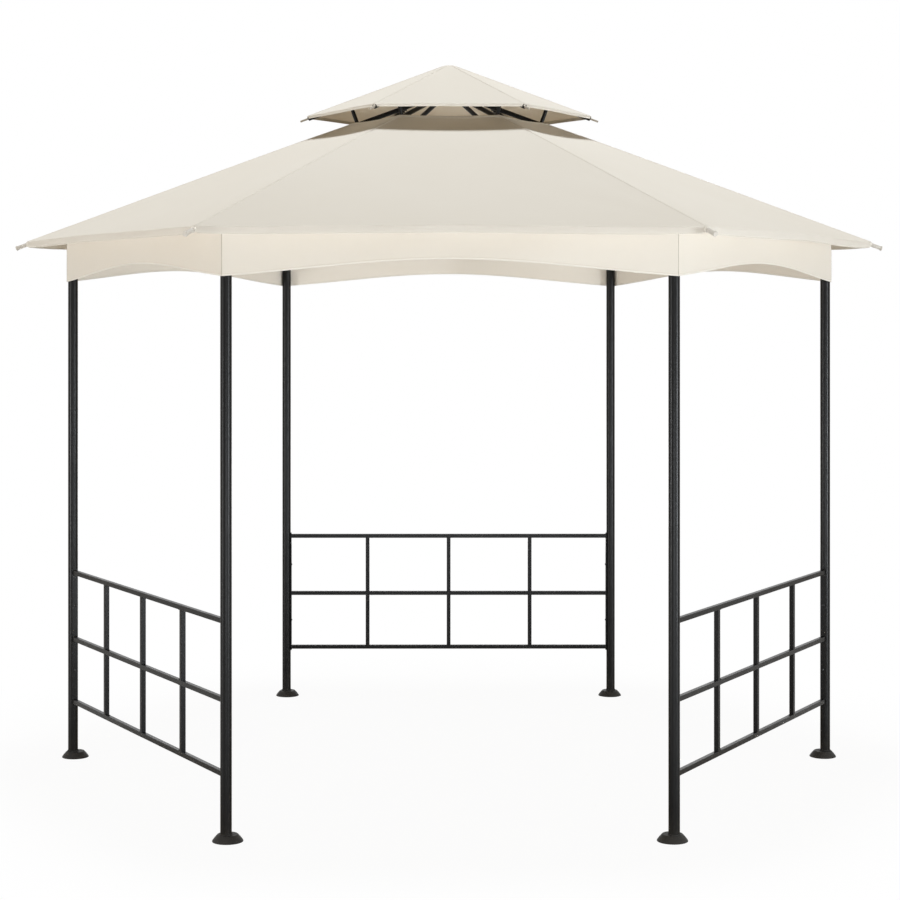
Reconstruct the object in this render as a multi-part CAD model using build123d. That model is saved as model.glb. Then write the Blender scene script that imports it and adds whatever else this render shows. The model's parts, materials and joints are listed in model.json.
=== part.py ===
from build123d import *
import os
from math import atan, cos, degrees, radians, sin, tan

# Garden gazebo with six posts, three open rail panels and a roof in two tiers.
# All sizes are in millimetres. The origin is on the ground in the middle, +Z is up,
# the open front looks toward -Y and two of the posts stand on the X axis.

# Plan
corner_count = 6
post_circle_radius = 1550

# Posts
post_diameter = 40
post_wall = 1.2
post_top_height = 2112

# Feet
foot_base_diameter = 108
foot_top_diameter = 71
foot_height = 24
foot_rim_height = 2
foot_wall = 3
foot_floor = 4
foot_side_bulge = 0.6
foot_inset = 10

# Rail panels
rail_size = 18
upright_size = 18
bar_edge_round = 1.5
lower_rail_height = 231
middle_rail_height = 488
top_rail_height = 761
bay_count = 4
stile_width = 22
stile_thickness = 4
stile_overhang = 6

# Corner brackets and eave beams
beam_diameter = 22
beam_wall = 1.2
beam_rise = 24
bracket_wall = 2.5
bracket_spigot_length = 60
bracket_stub_length = 55
bracket_stub_wall = 1.5
cradle_depth = 4

# Main roof
hip_angle = 19.95
eave_overhang = 185
vent_past_strut = 15
hem_drop = 26
cloth_thickness = 2
rafter_diameter = 19
rafter_wall = 1
rafter_rise = 65.4
rafter_past_cloth = 2

# Pale tips that push the roof's corners out
tip_length = 47
tip_diameter = 16
tip_plug_length = 45
tip_flange_diameter = 20
tip_flange_thickness = 6
tip_flange_round = 2

# Hub of the main roof
hub_diameter = 90
hub_height = 42
hub_spigot_length = 30
hub_edge_round = 5
hub_recess_diameter = 60
hub_recess_depth = 14

# Crown, the small upper roof
crown_hip_angle = 20.23
crown_lift = 98.5
crown_corner_radius = 582
crown_flat_radius = 23
crown_hem_drop = 13
crown_rafter_diameter = 19
crown_rafter_wall = 1
crown_rafter_set_back = 1
crown_hub_diameter = 64
crown_hub_height = 26
crown_hub_spigot_length = 22
crown_post_diameter = 25
crown_post_wall = 1.5
crown_post_seat_depth = 10
strut_diameter = 16
strut_wall = 1.2
strut_radius = 377

# Pale rods that push the crown's corners out
crown_tip_length = 33
crown_tip_diameter = 8
crown_tip_plug_length = 30
crown_tip_round = 2

# Valance
valance_depth = 157
valance_arch_rise = 61
valance_thickness = 2

# Clearances
slide_gap = 0.3
cloth_gap = 0.3
seat_gap = 0.2
notch_gap = 0.2

# Worked out from the sizes above
corner_step = 360 / corner_count
half_step = corner_step / 2
flat_share = cos(radians(half_step))
post_line = post_circle_radius * flat_share
half_post_spacing = post_circle_radius * sin(radians(half_step))
post_bore = post_diameter - 2 * post_wall
beam_height = post_top_height + beam_rise
hip_rise = tan(radians(hip_angle))
crown_hip_rise = tan(radians(crown_hip_angle))
main_slope = atan(hip_rise / flat_share)
crown_slope = atan(crown_hip_rise / flat_share)
eave_corner_radius = post_circle_radius + eave_overhang
vent_corner_radius = strut_radius + vent_past_strut
rafter_end_radius = eave_corner_radius + rafter_past_cloth
tip_end_radius = rafter_end_radius + tip_length
crown_rafter_end_radius = crown_corner_radius - crown_rafter_set_back
valance_corner_height = post_top_height - valance_depth
valance_crown_height = valance_corner_height + valance_arch_rise

corner_names = ["right", "back_right", "back_left", "left", "front_left", "front_right"]
side_names = ["back_right", "back", "back_left", "front_left", "front", "front_right"]
panel_sides = ["back", "front_left", "front_right"]


def turned(shape, angle):
    """Turn a shape about the gazebo's upright axis."""
    return Rot(0, 0, angle) * shape


def rod(start, end, diameter):
    """A round bar from one point to another."""
    start = Vector(*start)
    end = Vector(*end)
    along = end - start
    bar = Cylinder(diameter / 2, along.length, align=(Align.CENTER, Align.CENTER, Align.MIN))
    return Plane(origin=start, z_dir=along) * bar


def tube(start, end, diameter, wall):
    """A round tube, open at both ends."""
    return rod(start, end, diameter) - rod(start, end, diameter - 2 * wall)


def square_bar(length, size):
    """A square bar from the origin up Z, its long edges a little rounded."""
    return extrude(RectangleRounded(size, size, bar_edge_round), length)


def revolved(points):
    """A turned piece on the Z axis from an outline of radius and height points."""
    return revolve(Plane.XZ * make_face(Polyline(*points, close=True)), Axis.Z)


def wedge(gap=0):
    """The sixth of the plan that belongs to one side, with its mitres moved in by gap."""
    reach = 2 * post_circle_radius
    tip = gap / sin(radians(half_step))
    half = (reach - tip) * tan(radians(half_step))
    outline = Polyline((tip, 0), (reach, half), (reach, -half), close=True)
    return extrude(make_face(outline), 2 * reach)


def rafter_height(radius):
    """Height of a main rafter's centre line, which passes over the top of its post."""
    return post_top_height + rafter_rise + (post_circle_radius - radius) * hip_rise


def cloth_height(radius):
    """Height of the main roof's outer face above a point on a hip."""
    lift = (rafter_diameter / 2 + cloth_gap + cloth_thickness) / cos(main_slope)
    return rafter_height(radius) + lift


def crown_cloth_height(radius):
    """Height of the crown cloth's outer face above a point on a hip."""
    corner_height = cloth_height(crown_corner_radius) + crown_lift
    return corner_height + (crown_corner_radius - radius) * crown_hip_rise


def crown_rafter_height(radius):
    """Height of a crown rafter's centre line, just under the cloth."""
    drop = (cloth_thickness + cloth_gap + crown_rafter_diameter / 2) / cos(crown_slope)
    return crown_cloth_height(radius) - drop


def on_rafter(radius):
    return (radius, 0, rafter_height(radius))


def square_to_rafter():
    """Upward direction square to a main rafter."""
    return Vector(sin(radians(hip_angle)), 0, cos(radians(hip_angle)))


def on_crown_rafter(radius):
    return (radius, 0, crown_rafter_height(radius))


def rafter_path(diameter):
    """A bar along the whole line of a main rafter, to cut what it passes."""
    return rod(on_rafter(0), on_rafter(tip_end_radius + tip_diameter), diameter)


def crown_rafter_path(diameter):
    """A bar along the line of a crown rafter, from its hub outward, to cut what it passes."""
    start = on_crown_rafter(crown_hub_diameter / 2)
    return rod(start, on_crown_rafter(crown_corner_radius + crown_tip_length), diameter)


def foot():
    """Conical plastic foot, hollow below, with a socket for the post a little off centre."""
    def cone(base_radius, rim_height, top_radius, height, bulge):
        middle = ((base_radius + top_radius) / 2 + bulge, (rim_height + height) / 2 + bulge)
        side = ThreePointArc((base_radius, rim_height), middle, (top_radius, height))
        bottom = [(top_radius, height), (0, height), (0, 0), (base_radius, 0), (base_radius, rim_height)]
        rest = Polyline(*bottom)
        return revolve(Plane.XZ * make_face(side + rest), Axis.Z)

    base_radius = foot_base_diameter / 2
    top_radius = foot_top_diameter / 2
    shell = cone(base_radius, foot_rim_height, top_radius, foot_height, foot_side_bulge)
    hollow_height = foot_height - foot_wall
    hollow_rim = foot_rim_height / 2
    hollow_top = top_radius - foot_wall / 2
    shell -= cone(base_radius - foot_wall, hollow_rim, hollow_top, hollow_height, foot_side_bulge)
    shell = Pos(post_circle_radius - foot_inset, 0, 0) * shell
    bore = post_diameter + 2 * slide_gap
    socket = rod((post_circle_radius, 0, 0), (post_circle_radius, 0, foot_height), bore + 2 * foot_wall)
    clear_above = 2 * foot_height
    hole = rod((post_circle_radius, 0, foot_floor), (post_circle_radius, 0, clear_above), bore)
    return shell + socket - hole


def post():
    """Round steel post that stands on the floor of its foot."""
    start = (post_circle_radius, 0, foot_floor)
    end = (post_circle_radius, 0, post_top_height)
    return tube(start, end, post_diameter, post_wall)


def panel():
    """Welded panel of square bars: three rails, three uprights and a flat stile at each post."""
    stile_outer = half_post_spacing - post_diameter / 2 - seat_gap
    stile_inner = stile_outer - stile_thickness
    bars = []
    rail = Rot(-90, 0, 0) * square_bar(2 * stile_inner, rail_size)
    for height in (lower_rail_height, middle_rail_height, top_rail_height):
        bars.append(Pos(post_line, -stile_inner, height) * rail)
    pitch = 2 * half_post_spacing / bay_count
    upright = square_bar(top_rail_height - lower_rail_height, upright_size)
    for number in range(1, bay_count):
        place = number * pitch - half_post_spacing
        bars.append(Pos(post_line, place, lower_rail_height) * upright)
    stile_height = top_rail_height - lower_rail_height + rail_size + 2 * stile_overhang
    middle = (top_rail_height + lower_rail_height) / 2
    for hand in (-1, 1):
        place = hand * (stile_outer + stile_inner) / 2
        bars.append(Pos(post_line, place, middle) * Box(stile_width, stile_thickness, stile_height))
    return bars[0].fuse(*bars[1:])


def corner_bracket():
    """Steel head of a post: a spigot in the post, two stubs for beams, a cradle for the rafter."""
    spigot_diameter = post_bore - 2 * slide_gap
    spigot_start = (post_circle_radius, 0, post_top_height - bracket_spigot_length)
    seat = (post_circle_radius, 0, post_top_height)
    above_rafter = (post_circle_radius, 0, rafter_height(post_circle_radius) + rafter_diameter)
    body = rod(spigot_start, seat, spigot_diameter) + rod(seat, above_rafter, post_diameter)
    stub_diameter = beam_diameter - 2 * beam_wall - 2 * slide_gap
    turn_to_side = 90 + half_step
    for hand in (-1, 1):
        angle = radians(hand * turn_to_side)
        reach = post_diameter / 2 + bracket_stub_length
        start = (post_circle_radius, 0, beam_height)
        end = (post_circle_radius + reach * cos(angle), reach * sin(angle), beam_height)
        body += rod(start, end, stub_diameter)
        reach_in = post_diameter / 2 - bracket_wall
        inner = (post_circle_radius + reach_in * cos(angle), reach_in * sin(angle), beam_height)
        body -= rod(inner, end, stub_diameter - 2 * bracket_stub_wall)
    floor = (post_circle_radius, 0, beam_height + beam_diameter / 2)
    body -= rod(spigot_start, floor, spigot_diameter - 2 * bracket_wall)
    rafter_plane = Plane(origin=on_rafter(post_circle_radius), x_dir=(0, 1, 0), z_dir=square_to_rafter())
    body = split(body, bisect_by=rafter_plane.offset(-cradle_depth), keep=Keep.BOTTOM)
    return body - rafter_path(rafter_diameter + 2 * slide_gap)


def beam():
    """Eave beam between two brackets, its ends cut to the round of the bracket."""
    start = (post_line, -half_post_spacing, beam_height)
    end = (post_line, half_post_spacing, beam_height)
    body = tube(start, end, beam_diameter, beam_wall)
    for hand in (-1, 1):
        below = (post_line, hand * half_post_spacing, beam_height - beam_diameter)
        above = (post_line, hand * half_post_spacing, beam_height + beam_diameter)
        body -= rod(below, above, post_diameter + 2 * slide_gap)
    return body


def rafter():
    """Main rafter from the hub, over its post, to the corner of the eave."""
    body = tube(on_rafter(0), on_rafter(rafter_end_radius), rafter_diameter, rafter_wall)
    hub_room = hub_diameter / 2 + slide_gap
    return body - rod((0, 0, 0), (0, 0, 2 * post_top_height), 2 * hub_room)


def eave_tip():
    """Pale plug in the end of a rafter, with a rod and a flange that stretch the cloth."""
    outside = tip_length / cos(radians(hip_angle))
    plug_radius = rafter_diameter / 2 - rafter_wall - slide_gap
    outline = [
        (0, -tip_plug_length),
        (plug_radius, -tip_plug_length),
        (plug_radius, 0),
        (tip_diameter / 2, 0),
        (tip_diameter / 2, outside - tip_flange_thickness),
        (tip_flange_diameter / 2, outside - tip_flange_thickness),
        (tip_flange_diameter / 2, outside - tip_flange_round),
        (tip_flange_diameter / 2 - tip_flange_round, outside),
        (0, outside),
    ]
    along = (cos(radians(hip_angle)), 0, -sin(radians(hip_angle)))
    return Plane(origin=on_rafter(rafter_end_radius), z_dir=along) * revolved(outline)


def hub_puck(diameter, height, edge):
    """Round hub body with its top edge cut back at the slope of the roof."""
    radius = diameter / 2
    return revolved([
        (0, 0),
        (radius - edge, 0),
        (radius, edge),
        (radius, height - edge),
        (radius - edge, height),
        (0, height),
    ])


def main_hub():
    """Hub of the main roof with six spigots and a seat for the crown post."""
    middle = rafter_height(hub_diameter / 2)
    base = middle - hub_height / 2
    body = Pos(0, 0, base) * hub_puck(hub_diameter, hub_height, hub_edge_round)
    body -= rod((0, 0, base), (0, 0, base + hub_recess_depth), hub_recess_diameter)
    spigot_diameter = rafter_diameter - 2 * rafter_wall - 2 * slide_gap
    start = hub_diameter / 2 - hub_edge_round
    for number in range(corner_count):
        spigot = rod(on_rafter(start), on_rafter(hub_diameter / 2 + hub_spigot_length), spigot_diameter)
        body += turned(spigot, number * corner_step)
    seat = base + hub_height - crown_post_seat_depth
    return body - rod((0, 0, seat), (0, 0, seat + hub_height), crown_post_diameter + 2 * slide_gap)


def crown_hub_base():
    return crown_rafter_height(crown_hub_diameter / 2) - crown_hub_height / 2


def crown_hub():
    """Hub of the crown, its top sloped to lie just under the cloth."""
    radius = crown_hub_diameter / 2
    under_flat = crown_cloth_height(crown_flat_radius) - cloth_thickness - cloth_gap
    drop = (cloth_thickness + cloth_gap) / cos(crown_slope)
    brow = crown_cloth_height(radius / flat_share) - drop
    flat_radius = radius - (under_flat - brow) / tan(crown_slope)
    base = crown_hub_base()
    body = revolved([(0, base), (radius, base), (radius, brow), (flat_radius, under_flat), (0, under_flat)])
    spigot_diameter = crown_rafter_diameter - 2 * crown_rafter_wall - 2 * slide_gap
    start = radius - crown_hub_spigot_length / 2
    for number in range(corner_count):
        end = on_crown_rafter(radius + crown_hub_spigot_length)
        spigot = rod(on_crown_rafter(start), end, spigot_diameter)
        body += turned(spigot, number * corner_step)
    seat = base + crown_post_seat_depth
    return body - rod((0, 0, base), (0, 0, seat), crown_post_diameter + 2 * slide_gap)


def crown_post():
    """Short upright tube between the two hubs."""
    main_base = rafter_height(hub_diameter / 2) - hub_height / 2
    start = main_base + hub_height - crown_post_seat_depth
    end = crown_hub_base() + crown_post_seat_depth - slide_gap
    return tube((0, 0, start), (0, 0, end), crown_post_diameter, crown_post_wall)


def crown_rafter():
    """Upper rafter from the crown hub nearly to the crown's corner."""
    end = on_crown_rafter(crown_rafter_end_radius)
    body = tube(on_crown_rafter(0), end, crown_rafter_diameter, crown_rafter_wall)
    hub_room = crown_hub_diameter + 2 * slide_gap
    return body - rod((0, 0, post_top_height), (0, 0, 2 * post_top_height), hub_room)


def crown_tip():
    """Pale plug in the end of a crown rafter, with a thin rod that stretches the crown's cloth."""
    outside = crown_tip_length / cos(radians(crown_hip_angle))
    plug_radius = crown_rafter_diameter / 2 - crown_rafter_wall - slide_gap
    outline = [
        (0, -crown_tip_plug_length),
        (plug_radius, -crown_tip_plug_length),
        (plug_radius, 0),
        (crown_tip_diameter / 2, 0),
        (crown_tip_diameter / 2, outside - crown_tip_round),
        (crown_tip_diameter / 2 - crown_tip_round, outside),
        (0, outside),
    ]
    along = (cos(radians(crown_hip_angle)), 0, -sin(radians(crown_hip_angle)))
    return Plane(origin=on_crown_rafter(crown_rafter_end_radius), z_dir=along) * revolved(outline)


def strut():
    """Tube square to the main rafter that holds the crown rafter above it."""
    foot_point = Vector(*on_rafter(strut_radius))
    gap_between = crown_rafter_height(strut_radius) - rafter_height(strut_radius)
    head_point = foot_point + square_to_rafter() * (gap_between * cos(radians(hip_angle)))
    body = tube(foot_point, head_point, strut_diameter, strut_wall)
    body -= rod(on_rafter(0), on_rafter(2 * strut_radius), rafter_diameter + 2 * slide_gap)
    crown_room = crown_rafter_diameter + 2 * slide_gap
    return body - rod(on_crown_rafter(0), on_crown_rafter(2 * strut_radius), crown_room)


def roof_panel():
    """One gore of the main roof with its hanging hem, mitred to its neighbours on the hips."""
    eave = eave_corner_radius * flat_share
    eave_height = cloth_height(eave_corner_radius)
    vent = vent_corner_radius * flat_share
    thickness = cloth_thickness / cos(main_slope)
    inner_eave = eave - cloth_thickness
    outline = Polyline(
        (vent, cloth_height(vent_corner_radius)),
        (eave, eave_height),
        (eave, eave_height - hem_drop),
        (inner_eave, eave_height - hem_drop),
        (inner_eave, cloth_height(inner_eave / flat_share) - thickness),
        (vent, cloth_height(vent_corner_radius) - thickness),
        close=True,
    )
    half_length = eave_corner_radius
    body = extrude(Plane.XZ * make_face(outline), half_length, both=True) & wedge()
    for hand in (-1, 1):
        body -= turned(rafter_path(rafter_diameter + 2 * notch_gap), hand * half_step)
    return body


def valance():
    """Curtain strip under one side of the eave, its lower edge a long shallow arch."""
    inner = post_line + post_diameter / 2 + cloth_gap
    outer = inner + valance_thickness
    half = outer * tan(radians(half_step))
    roof_drop = (cloth_thickness + cloth_gap) / cos(main_slope)
    top = cloth_height(outer / flat_share) - roof_drop
    left = (-half, valance_corner_height)
    right = (half, valance_corner_height)
    arch = ThreePointArc(left, (0, valance_crown_height), right)
    rest = Polyline(right, (half, top), (-half, top), left)
    strip = Plane.YZ.offset(outer) * make_face(arch + rest)
    body = extrude(strip, -valance_thickness) & wedge(cloth_gap)
    for hand in (-1, 1):
        body -= turned(rafter_path(rafter_diameter + 2 * notch_gap), hand * half_step)
    return body


def crown_canopy():
    """Cloth of the crown: six gores in one piece, flat over the hub, with a narrow hem."""
    edge = crown_corner_radius * flat_share
    edge_height = crown_cloth_height(crown_corner_radius)
    apex_height = crown_cloth_height(crown_flat_radius)
    thickness = cloth_thickness / cos(crown_slope)
    inner_edge = edge - cloth_thickness
    under_apex = apex_height - cloth_thickness
    inner_flat = (crown_cloth_height(0) - thickness - under_apex) / crown_hip_rise * flat_share
    outline = Polyline(
        (0, apex_height),
        (crown_flat_radius * flat_share, apex_height),
        (edge, edge_height),
        (edge, edge_height - crown_hem_drop),
        (inner_edge, edge_height - crown_hem_drop),
        (inner_edge, crown_cloth_height(inner_edge / flat_share) - thickness),
        (inner_flat, under_apex),
        (0, under_apex),
        close=True,
    )
    gore = extrude(Plane.XZ * make_face(outline), crown_corner_radius, both=True) & wedge()
    gores = [turned(gore, half_step + number * corner_step) for number in range(corner_count)]
    cloth = gores[0].fuse(*gores[1:]).clean()
    for number in range(corner_count):
        cloth -= turned(crown_rafter_path(crown_rafter_diameter + 2 * notch_gap), number * corner_step)
    return cloth


def around(shape):
    """Six copies of a corner piece as solids of one node."""
    return Compound([turned(shape, number * corner_step).solid() for number in range(corner_count)])


def save(shape, name):
    export_step(shape, "parts/" + name + ".step")


def main():
    os.makedirs("parts", exist_ok=True)
    corner_pieces = {"foot": foot(), "post": post(), "rafter": rafter()}
    for kind, shape in corner_pieces.items():
        for number, name in enumerate(corner_names):
            save(turned(shape, number * corner_step), kind + "_" + name)
    side_pieces = {"beam": beam(), "roof_panel": roof_panel()}
    for kind, shape in side_pieces.items():
        for number, name in enumerate(side_names):
            save(turned(shape, half_step + number * corner_step), kind + "_" + name)
    rail_panel = panel()
    for name in panel_sides:
        number = side_names.index(name)
        save(turned(rail_panel, half_step + number * corner_step), "rail_panel_" + name)
    shared = {
        "corner_brackets": corner_bracket(),
        "eave_tips": eave_tip(),
        "crown_rafters": crown_rafter(),
        "crown_tips": crown_tip(),
        "crown_struts": strut(),
        "valances": turned(valance(), half_step),
    }
    for name, shape in shared.items():
        save(around(shape), name)
    save(main_hub(), "main_hub")
    save(crown_hub(), "crown_hub")
    save(crown_post(), "crown_post")
    save(crown_canopy(), "crown_canopy")


main()
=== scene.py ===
# %% [markdown]
# # Dressing a six sided garden gazebo
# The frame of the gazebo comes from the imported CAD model: posts, feet, rails, rafters
# and hubs. This lesson adds what a solid model leaves plain: the sewn roof cloth in two
# tiers, its arched valance, seams and stitching, screws and weld beads, and the finish
# of every surface. Everything is in metres, with +Z up and the open front toward -Y.

# %% Load the fixed frame
import json
import math

import bmesh
import bpy
from mathutils import Matrix, Vector, noise


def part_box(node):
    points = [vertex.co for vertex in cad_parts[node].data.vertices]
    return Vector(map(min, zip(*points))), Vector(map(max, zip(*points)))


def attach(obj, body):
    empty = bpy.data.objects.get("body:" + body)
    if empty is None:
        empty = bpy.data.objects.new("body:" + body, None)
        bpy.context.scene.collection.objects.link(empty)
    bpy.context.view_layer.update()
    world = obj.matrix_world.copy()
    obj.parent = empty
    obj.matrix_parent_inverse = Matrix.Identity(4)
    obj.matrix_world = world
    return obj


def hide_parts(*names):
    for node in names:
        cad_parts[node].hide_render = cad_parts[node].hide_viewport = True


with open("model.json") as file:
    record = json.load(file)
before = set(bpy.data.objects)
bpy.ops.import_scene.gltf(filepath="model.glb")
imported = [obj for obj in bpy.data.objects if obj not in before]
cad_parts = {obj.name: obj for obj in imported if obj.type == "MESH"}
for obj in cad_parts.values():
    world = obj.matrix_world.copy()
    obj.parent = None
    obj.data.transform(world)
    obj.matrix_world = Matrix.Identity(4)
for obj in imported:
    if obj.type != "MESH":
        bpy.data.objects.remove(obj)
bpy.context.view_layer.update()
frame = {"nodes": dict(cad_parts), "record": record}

nodes = frame["nodes"]

# %% [markdown]
# Shader nodes are made and wired the same way all through. These helpers take a plain
# value or another node's output for each input, so a material reads as a few lines.

# %% Helpers for shader nodes
def new_node(tree, kind, inputs=(), **settings):
    """Add a node, then give each of its inputs a value or a link."""
    node = tree.nodes.new("ShaderNode" + kind)
    for label, value in settings.items():
        setattr(node, label, value)
    for label, value in dict(inputs).items():
        if isinstance(value, bpy.types.NodeSocket):
            tree.links.new(value, node.inputs[label])
        else:
            node.inputs[label].default_value = value
    return node


def math_node(tree, operation, *terms):
    return new_node(tree, "Math", dict(enumerate(terms)), operation=operation).outputs[0]


def noise_node(tree, place, scale, detail):
    inputs = {"Vector": place, "Scale": scale, "Detail": detail}
    return new_node(tree, "TexNoise", inputs).outputs[0]


def mix_colour(tree, share, first, second):
    inputs = {"Factor": share, "A": first, "B": second}
    return new_node(tree, "Mix", inputs, data_type="RGBA").outputs["Result"]


def map_range(tree, value, source=(0, 1), result=(0, 1), smooth=False):
    inputs = dict(zip(("From Min", "From Max", "To Min", "To Max"), (*source, *result)))
    inputs["Value"] = value
    curve = "SMOOTHSTEP" if smooth else "LINEAR"
    return new_node(tree, "MapRange", inputs, interpolation_type=curve).outputs[0]


def mix_shaders(tree, share, plain, shown, output):
    mix = new_node(tree, "MixShader", {0: share, 1: plain.outputs[0], 2: shown.outputs[0]})
    new_node(tree, output, {"Surface": mix.outputs[0]})


# %% [markdown]
# ## Camera
# The photograph was taken level, a little under eye height, with a long lens. Level
# cameras keep posts upright, and the frame is moved down with the lens shift, not by
# tilting. The place was worked out from the six feet and the three rail panels.

# %% Camera
camera_data = bpy.data.cameras.new("photo_camera")
camera_data.sensor_width = 36.0
camera_data.lens = 80.95
camera_data.shift_y = -0.1529
camera = bpy.data.objects.new("photo_camera", camera_data)
camera.location = (-0.0195, -8.3416, 1.8299)
camera.rotation_euler = (math.radians(90), 0, -0.0027)
bpy.context.scene.collection.objects.link(camera)
bpy.context.scene.camera = camera
print("camera at", [round(v, 3) for v in camera.location])

# %% [markdown]
# ## Floor, backdrop and lamps
# The picture is a plain studio shot on white. The world and the floor show white to the
# camera by their colour, so no extra light has to fall on the cloth. A broad lamp right
# above draws the crown's shadow on the roof below it. A wide lamp in front lights the
# valance, a fainter one does so behind, and two low upright lamps at the sides put the
# streaks on the black tubes.

# %% White world and pale floor
bpy.context.scene.view_settings.view_transform = "Standard"

world = bpy.data.worlds.new("studio")
bpy.context.scene.world = world
world.use_nodes = True
tree = world.node_tree
tree.nodes.clear()
path = new_node(tree, "LightPath").outputs
seen = math_node(tree, "MAXIMUM", path["Is Camera Ray"], path["Is Glossy Ray"])
seen = math_node(tree, "MAXIMUM", seen, path["Is Transmission Ray"])
shade = new_node(tree, "Background", {"Color": (0.215, 0.166, 0.102, 1)})
white = new_node(tree, "Background", {"Color": (1, 1, 1, 1)})
mix_shaders(tree, seen, shade, white, "OutputWorld")

white_from, white_to = 1.7, 2.6
floor_paint = bpy.data.materials.new("studio_floor")
floor_paint.use_nodes = True
tree = floor_paint.node_tree
tree.nodes.clear()
place = new_node(tree, "TexCoord").outputs["Object"]
away = new_node(tree, "VectorMath", {0: place}, operation="LENGTH").outputs["Value"]
whiter = map_range(tree, away, (white_from, white_to), (0.955, 1.0), smooth=True)
camera_ray = new_node(tree, "LightPath").outputs["Is Camera Ray"]
share = math_node(tree, "MULTIPLY", camera_ray, whiter)
matte = new_node(tree, "BsdfDiffuse", {"Color": (0.85, 0.85, 0.85, 1)})
glow = new_node(tree, "Emission")
mix_shaders(tree, share, matte, glow, "OutputMaterial")

bm = bmesh.new()
bmesh.ops.create_grid(bm, x_segments=1, y_segments=1, size=300)
floor_mesh = bpy.data.meshes.new("floor")
bm.to_mesh(floor_mesh)
bm.free()
floor = bpy.data.objects.new("floor", floor_mesh)
floor_mesh.materials.append(floor_paint)
bpy.context.scene.collection.objects.link(floor)
print("floor and world made")

# %% Lamps
def studio_lamp(name, place, target, size, watts, tint):
    data = bpy.data.lights.new(name, "AREA")
    data.color = tint
    data.shape = "RECTANGLE"
    data.size, data.size_y = size
    data.energy = watts
    lamp = bpy.data.objects.new(name, data)
    lamp.location = place
    aim = Vector(target) - Vector(place)
    lamp.rotation_euler = aim.to_track_quat("-Z", "Y").to_euler()
    bpy.context.scene.collection.objects.link(lamp)


cool = (0.90, 0.95, 1.0)
neutral = (1.0, 1.0, 1.0)
studio_lamp("lamp_above", (0, 0.6, 14), (0, 0, 2.5), (2.6, 2.6), 1215, cool)
studio_lamp("lamp_front", (0.6, -7.0, 0.5), (0, 0, 2.1), (4.5, 0.8), 92, cool)
studio_lamp("lamp_left", (-6.3, -3.9, 0.9), (-0.775, -1.34, 0.9), (0.40, 1.7), 150, neutral)
studio_lamp("lamp_right", (6.3, -5.0, 0.9), (0.4, -0.6, 0.9), (1.2, 1.7), 262, cool)
studio_lamp("lamp_back", (0, 6.6, 0.5), (0, 0, 2.1), (4.5, 0.8), 30, neutral)
print("five lamps")

# %% [markdown]
# ## Shader groups that several finishes share
# Woven cloth, powder paint and moulded plastic differ in colour, but all need a small
# relief and a slow change of tone. Each effect is built once as a node group with named
# inputs, and every material sets its own values on it.

# %% A helper that starts a node group
def start_group(name, inputs, outputs):
    group = bpy.data.node_groups.new(name, "ShaderNodeTree")
    for label, kind, value in inputs:
        socket = group.interface.new_socket(label, in_out="INPUT", socket_type="NodeSocket" + kind)
        if value is not None:
            socket.default_value = value
    for label, kind in outputs:
        group.interface.new_socket(label, in_out="OUTPUT", socket_type="NodeSocket" + kind)
    given, out = group.nodes.new("NodeGroupInput"), group.nodes.new("NodeGroupOutput")
    return group, given.outputs, out.inputs


# %% [markdown]
# A plain weave lifts where a lengthwise thread crosses over and sinks where it passes
# under. Two sine waves multiplied give that chequer. The pattern reads the cloth's own
# UV map, which is in metres, so threads stay the same size on every panel.

# %% Group: plain weave
weave, given, out = start_group(
    "plain_weave",
    [("Vector", "Vector", None), ("Thread", "Float", 0.0011), ("Slub", "Float", 0.25)],
    [("Height", "Float")],
)
split = new_node(weave, "SeparateXYZ", {0: given["Vector"]}).outputs
turn = math_node(weave, "DIVIDE", math.pi, given["Thread"])
across = math_node(weave, "SINE", math_node(weave, "MULTIPLY", split["X"], turn))
along = math_node(weave, "SINE", math_node(weave, "MULTIPLY", split["Y"], turn))
crossing = math_node(weave, "MULTIPLY", across, along)
slub = noise_node(weave, given["Vector"], 60, 3)
uneven = math_node(weave, "MULTIPLY", slub, given["Slub"])
weave.links.new(math_node(weave, "ADD", crossing, uneven), out["Height"])
print("weave group:", len(weave.nodes), "nodes")

# %% [markdown]
# Sun, rain and folding leave cloth and paint a little uneven over a hand's width. A soft
# noise on Object coordinates mixes two near tones of the same colour.

# %% Group: slow change of tone
tone, given, out = start_group(
    "slow_tone",
    [
        ("Color", "Color", (0.8, 0.8, 0.8, 1)),
        ("Other", "Color", (0.7, 0.7, 0.7, 1)),
        ("Scale", "Float", 2.0),
        ("Amount", "Float", 0.5),
    ],
    [("Color", "Color")],
)
place = new_node(tone, "TexCoord").outputs["Object"]
patch = noise_node(tone, place, given["Scale"], 4)
spread = map_range(tone, patch, (0.35, 0.65))
mask = math_node(tone, "MULTIPLY", spread, given["Amount"])
blend = mix_colour(tone, mask, given["Color"], given["Other"])
tone.links.new(blend, out["Color"])
print("tone group:", len(tone.nodes), "nodes")

# %% [markdown]
# Powder paint melts into a skin with a faint orange peel, and moulded plastic has a fine
# spark eroded grain. Both are a noise relief that differs only in scale, so one group
# serves both. The same group gathers pale dust where a piece is close to the ground.

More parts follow.
